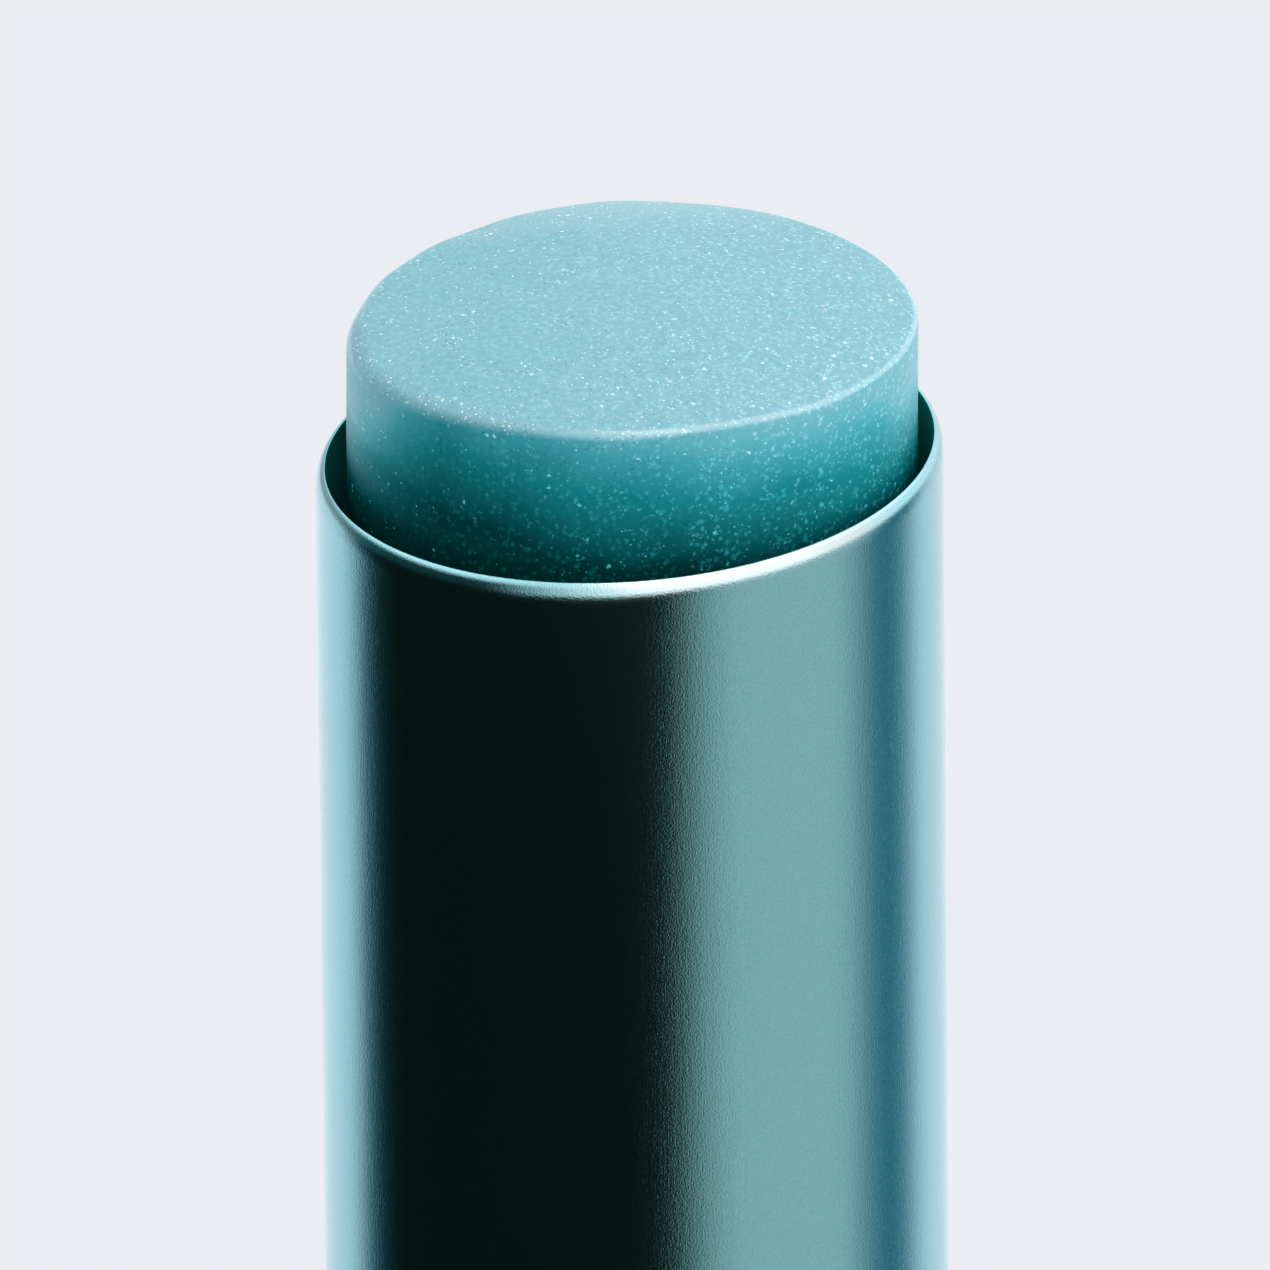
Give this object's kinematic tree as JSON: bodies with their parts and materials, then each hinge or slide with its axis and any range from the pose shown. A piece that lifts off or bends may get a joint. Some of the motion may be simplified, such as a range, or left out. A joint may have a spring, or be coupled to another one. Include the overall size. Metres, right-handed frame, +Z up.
{
  "type": "lip balm",
  "caption": "Twist-up lip balm: an oval stick of balm with an arched top stands out of an oval satin metal sleeve on a round fluted dial.",
  "frame": {"origin": "centre of the flat face that the dial stands on", "axes": "+Z up along the stick, +X along the oval's width, +Y along its depth"},
  "size_m": [0.02, 0.0168, 0.0736],
  "materials": {
    "anodised_teal": "satin teal anodising, lightly brushed",
    "balm_wax": "waxy, slightly translucent teal with fine silver shimmer",
    "dark_plastic": "fine matte moulded plastic",
    "natural_plastic": "milky moulded plastic",
    "white_plastic": "smooth moulded plastic",
    "black_rubber": "smooth rubber"
  },
  "bodies": {
    "case": {"sleeve": "anodised_teal", "bearing_plug": "dark_plastic"},
    "dial": {"dial_core": "dark_plastic", "dial_cover": "anodised_teal", "screw_spindle": "white_plastic", "friction_ring": "black_rubber"},
    "carrier": {"carrier_cup": "natural_plastic", "balm": "balm_wax"}
  },
  "joints": [
    {"name": "dial_turn", "type": "hinge", "parent": "case", "child": "dial", "pos_m": [0, 0, 0], "axis": [0, 0, 1], "range_deg": [-720, 1800]},
    {"name": "carrier_slide", "type": "slide", "parent": "case", "child": "carrier", "axis": [0, 0, 1], "range_m": [-0.006, 0.015]}
  ],
  "couplings": [
    {"joint": "dial_turn", "follows": "carrier_slide", "rad_per_m": 2094.4}
  ]
}
